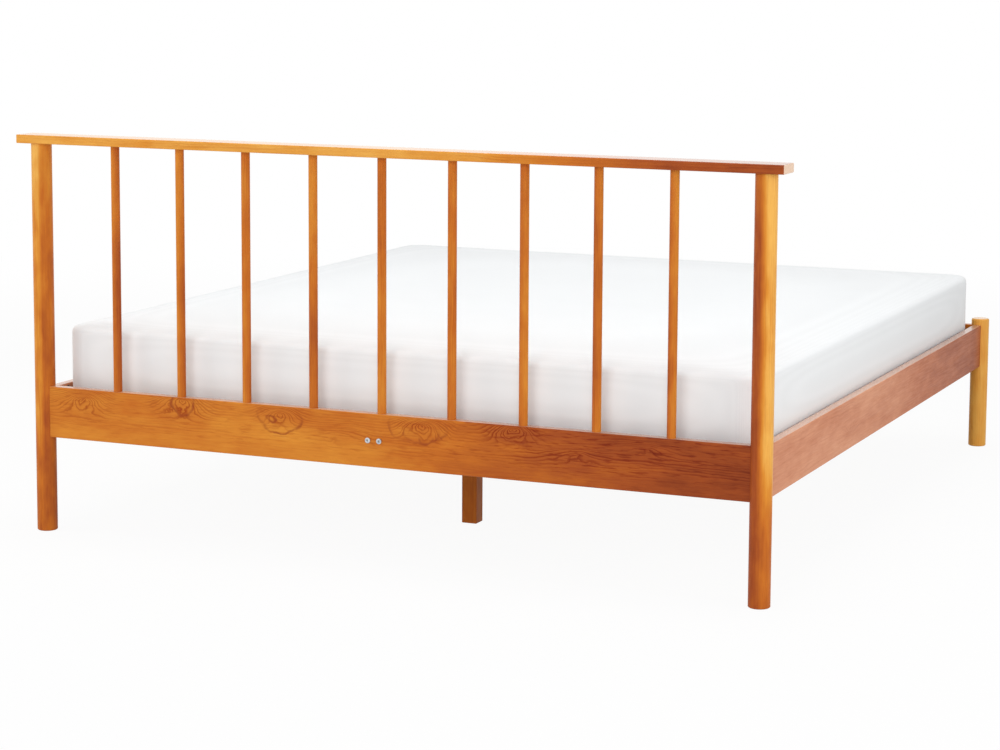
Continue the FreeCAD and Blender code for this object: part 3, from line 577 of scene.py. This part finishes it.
def make_mattress():
    form = mattress_form()
    mesh = bpy.data.meshes.new("mattress_cover")
    form.to_mesh(mesh)
    form.free()
    mesh.materials.append(materials["cover"])
    mattress = bpy.data.objects.new("mattress_cover", mesh)
    bpy.context.scene.collection.objects.link(mattress)
    swell(mattress, [v.index for v in mesh.vertices if v.co.z < RAIL_TOP + HELD_RIM])
    smooth = mattress.modifiers.new("smooth", "SUBSURF")
    smooth.levels = smooth.render_levels = 1
    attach(mattress, "mattress")
    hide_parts("mattress")


make_mattress()


# ---------------------------------------------------------------- studio

FLOOR_REACH = 160.0
SHADOW_REACH = (2.4, 5.5)   # up to the first distance the floor shows a shadow, and from the second it is white
SHADOW_HIDE = 0.94          # how much of the shadow is hidden where it shows
DAYLIGHT = 0.44             # what the white surroundings give as light


def studio_rays(g):
    """1 for the rays that show the background: the camera's, and those of gloss and glass."""
    path = g.add("ShaderNodeLightPath").outputs
    return g.fold("MAXIMUM", path["Is Camera Ray"], path["Is Glossy Ray"], path["Is Transmission Ray"])


def make_floor():
    g = Graph(bpy.data.materials.new("studio_floor"))
    distance = g.add("ShaderNodeVectorMath", {"operation": "LENGTH"}, Vector=g.place).outputs["Value"]
    paper = g.noise(g.place, (40.0, 40.0, 40.0), 3.0)
    sheet = g.add("ShaderNodeBsdfDiffuse", Color=g.blend(paper, seen(228, 228, 228), seen(234, 234, 234)))
    glow = g.add("ShaderNodeEmission", Color=WHITE, Strength=1.0)
    share = g.math("MULTIPLY", studio_rays(g), g.range(distance, *SHADOW_REACH, SHADOW_HIDE, 1.0))
    mixed = g.add("ShaderNodeMixShader", Fac=share)
    g.feed(mixed.inputs[1], sheet.outputs[0])
    g.feed(mixed.inputs[2], glow.outputs[0])
    g.add("ShaderNodeOutputMaterial", Surface=mixed.outputs[0])
    corners = [(sx * FLOOR_REACH, sy * FLOOR_REACH, 0.0) for sx, sy in ((-1, -1), (1, -1), (1, 1), (-1, 1))]
    mesh = bpy.data.meshes.new("studio_floor")
    mesh.from_pydata(corners, [], [(0, 1, 2, 3)])
    mesh.materials.append(g.owner)
    floor = bpy.data.objects.new("studio_floor", mesh)
    bpy.context.scene.collection.objects.link(floor)


def make_world():
    """White surroundings: full white to look at, and weaker as light."""
    g = Graph(bpy.data.worlds.new("studio"))
    bpy.context.scene.world = g.owner
    level = g.add("ShaderNodeMapRange", Value=studio_rays(g), To_Min=DAYLIGHT, To_Max=1.0)
    sky = g.add("ShaderNodeBackground", Color=WHITE, Strength=level.outputs[0])
    g.add("ShaderNodeOutputWorld", Surface=sky.outputs[0])


def softbox(name, place, target, size, power):
    """A white lamp of a size in metres and a power in watts, turned to its target."""
    lamp = bpy.data.lights.new(name, "AREA")
    lamp.shape = "RECTANGLE"
    lamp.size, lamp.size_y = size
    lamp.energy = power
    lamp_object = bpy.data.objects.new(name, lamp)
    aim = Vector(target) - Vector(place)
    lamp_object.matrix_world = Matrix.Translation(place) @ aim.to_track_quat("-Z", "Y").to_matrix().to_4x4()
    bpy.context.scene.collection.objects.link(lamp_object)


make_floor()
make_world()
softbox("softbox_left", (3.6, 2.6, 1.8), (0.7, 0.9, 0.5), (2.2, 2.0), 34.0)
softbox("softbox_right", (-4.4, 1.3, 1.8), (-0.8, 0.2, 0.5), (3.4, 2.0), 58.0)
softbox("softbox_front", (-1.0, 7.0, 2.6), (-0.1, 0.9, 0.4), (5.6, 2.8), 160.0)
softbox("softbox_above", (0.0, 0.2, 3.9), (0.0, 0.0, 0.4), (3.0, 2.8), 74.0)


# ---------------------------------------------------------------- camera

CAMERA_PLACE = (-2.6226, 6.4036, 1.4439)
CAMERA_TURN = (0.4085474951, -0.1261009469, 0.0055052866)      # yaw, pitch and roll, in radians
SENSOR = 36.0           # mm
LENS = 94.0386          # mm
LENS_SHIFT = -0.10      # in widths of the picture


def make_camera():
    """The photo's camera, as fitted to the edges of the bed."""
    yaw, pitch, roll = CAMERA_TURN
    ahead = Vector((math.sin(yaw) * math.cos(pitch), -math.cos(yaw) * math.cos(pitch), math.sin(pitch)))
    right = Vector((-math.cos(yaw), -math.sin(yaw), 0.0))
    up = right.cross(ahead)
    turned_right = math.cos(roll) * right + math.sin(roll) * up
    turned_up = math.cos(roll) * up - math.sin(roll) * right
    camera = bpy.data.cameras.new("camera")
    camera.sensor_width = SENSOR
    camera.lens = LENS
    camera.shift_y = LENS_SHIFT
    camera.clip_start = 0.05
    camera.clip_end = 400.0
    camera_object = bpy.data.objects.new("camera", camera)
    turn = Matrix((turned_right, turned_up, -ahead)).transposed().to_4x4()
    camera_object.matrix_world = Matrix.Translation(CAMERA_PLACE) @ turn
    bpy.context.scene.collection.objects.link(camera_object)
    bpy.context.scene.camera = camera_object


make_camera()
bpy.context.scene.view_settings.view_transform = "Standard"
